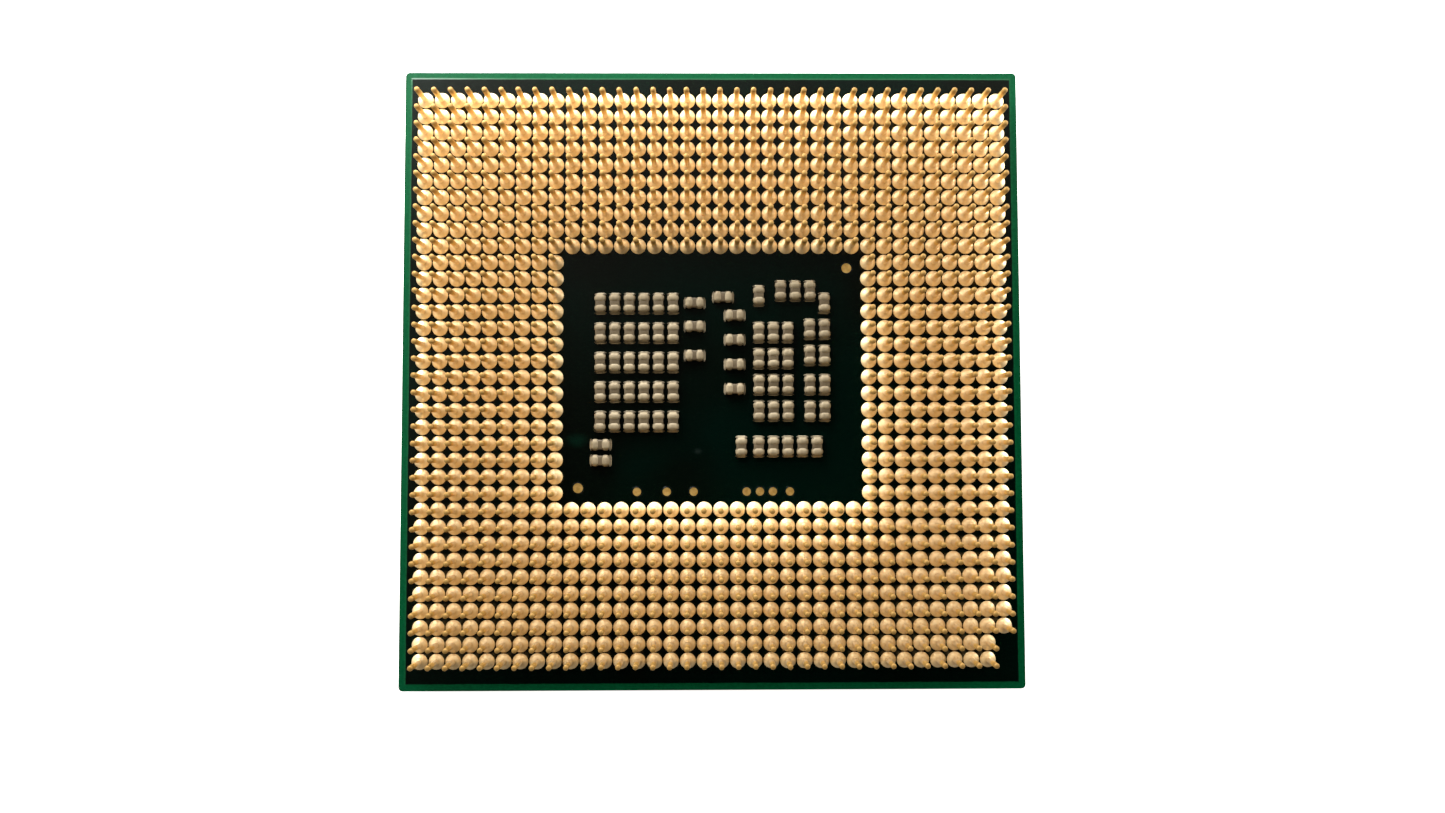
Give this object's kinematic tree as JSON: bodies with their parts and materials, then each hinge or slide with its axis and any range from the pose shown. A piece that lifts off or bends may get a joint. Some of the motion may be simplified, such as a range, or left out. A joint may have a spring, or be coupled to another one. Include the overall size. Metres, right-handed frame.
{
  "type": "pin-grid processor package",
  "caption": "Square processor package: green laminate carrying a dense grid of gold pins round a cavity of small capacitors, two bare dies behind.",
  "frame": {"origin": "centre of the square outline, in the plane of the die backs, which it lies on", "axes": "+Z points the way the pins point, +X and +Y run along the package edges, and the corner with two pins left out is at +X, -Y"},
  "size_m": [0.0376, 0.0376, 0.004],
  "materials": {
    "core_laminate": "cut glass-fibre laminate, satin",
    "copper": "rolled copper foil",
    "buildup_resin": "resin film, satin",
    "solder_mask": "dark green solder mask, semi-gloss",
    "gold_pad": "flat gold plating, satin",
    "gold_pin": "gold-plated shank, polished",
    "gold_tinted_solder": "gold-tinted solder dome, polished",
    "capacitor_ceramic": "sintered ceramic, satin",
    "tin_plating": "matte tin plating",
    "solder": "reflowed solder, satin",
    "silicon": "polished silicon back, dark and reflective",
    "underfill_resin": "cured dark epoxy, satin"
  },
  "bodies": {
    "root": {"substrate_core": "core_laminate", "copper_plane_die_side": "copper", "copper_plane_pin_side": "copper", "buildup_die_side": "buildup_resin", "buildup_pin_side": "buildup_resin", "solder_mask_pin_side": "solder_mask", "solder_mask_die_side": "solder_mask", "test_pads": "gold_pad", "fiducial_pads_pin_side": "gold_pad", "fiducial_pads_die_side": "gold_pad", "pin_one_mark": "gold_pad", "pins_north": "gold_pin", "pins_south": "gold_pin", "pins_west": "gold_pin", "pins_east": "gold_pin", "pin_joints_north": "gold_tinted_solder", "pin_joints_south": "gold_tinted_solder", "pin_joints_west": "gold_tinted_solder", "pin_joints_east": "gold_tinted_solder", "capacitor_ceramics_west": "capacitor_ceramic", "capacitor_ceramics_centre": "capacitor_ceramic", "capacitor_ceramics_east": "capacitor_ceramic", "capacitor_ceramics_south": "capacitor_ceramic", "capacitor_terminals_west": "tin_plating", "capacitor_terminals_centre": "tin_plating", "capacitor_terminals_east": "tin_plating", "capacitor_terminals_south": "tin_plating", "capacitor_joints_west": "solder", "capacitor_joints_centre": "solder", "capacitor_joints_east": "solder", "capacitor_joints_south": "solder", "processor_die": "silicon", "bump_layer_processor": "solder", "underfill_processor": "underfill_resin", "graphics_die": "silicon", "bump_layer_graphics": "solder", "underfill_graphics": "underfill_resin"}
  },
  "joints": []
}
